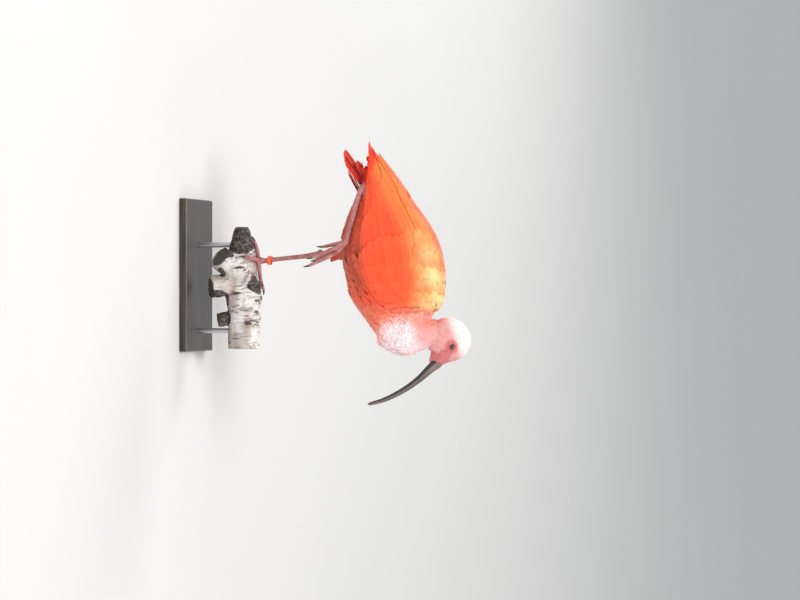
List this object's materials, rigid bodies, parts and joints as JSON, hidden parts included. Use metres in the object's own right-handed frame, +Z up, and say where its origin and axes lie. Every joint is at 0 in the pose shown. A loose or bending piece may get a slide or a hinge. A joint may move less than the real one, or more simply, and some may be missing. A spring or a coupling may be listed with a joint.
{
  "type": "scarlet ibis",
  "caption": "Life-size scarlet ibis standing on one leg on a cut birch branch end, folded wings and long down-curved bill, held on a plain flat display stand.",
  "frame": {"origin": "centre of the stand's underside, on the floor", "axes": "+X the way the bird faces, +Y to its left, +Z up"},
  "size_m": [0.3899, 0.15, 0.431],
  "materials": {
    "plumage": "feathers, scarlet to pale salmon",
    "bill": "satin horn, brown grey",
    "eye": "wet gloss, dark maroon",
    "leg": "scaled bare skin, dusty pink",
    "claw": "satin horn, dark grey",
    "band": "smooth, orange red",
    "bark": "birch bark, white with dark marks",
    "stand": "satin dark stain",
    "stand_rod": "brushed"
  },
  "bodies": {
    "root": {"torso": "plumage", "neck": "plumage", "head": "plumage", "wing_left": "plumage", "wing_right": "plumage", "tail": "plumage", "thigh_left": "plumage", "thigh_right": "plumage", "bill_upper": "bill", "bill_lower": "bill", "eye_left": "eye", "eye_right": "eye", "shank_left": "leg", "shank_right": "leg", "tarsus_left": "leg", "tarsus_right": "leg", "foot_left": "leg", "foot_right": "leg", "claw_left_hallux": "claw", "claw_left_inner": "claw", "claw_left_middle": "claw", "claw_left_outer": "claw", "claw_right_hallux": "claw", "claw_right_inner": "claw", "claw_right_middle": "claw", "claw_right_outer": "claw", "leg_band": "band", "perch": "bark", "stand_base": "stand", "stand_rod_front": "stand_rod", "stand_rod_rear": "stand_rod"}
  },
  "joints": []
}
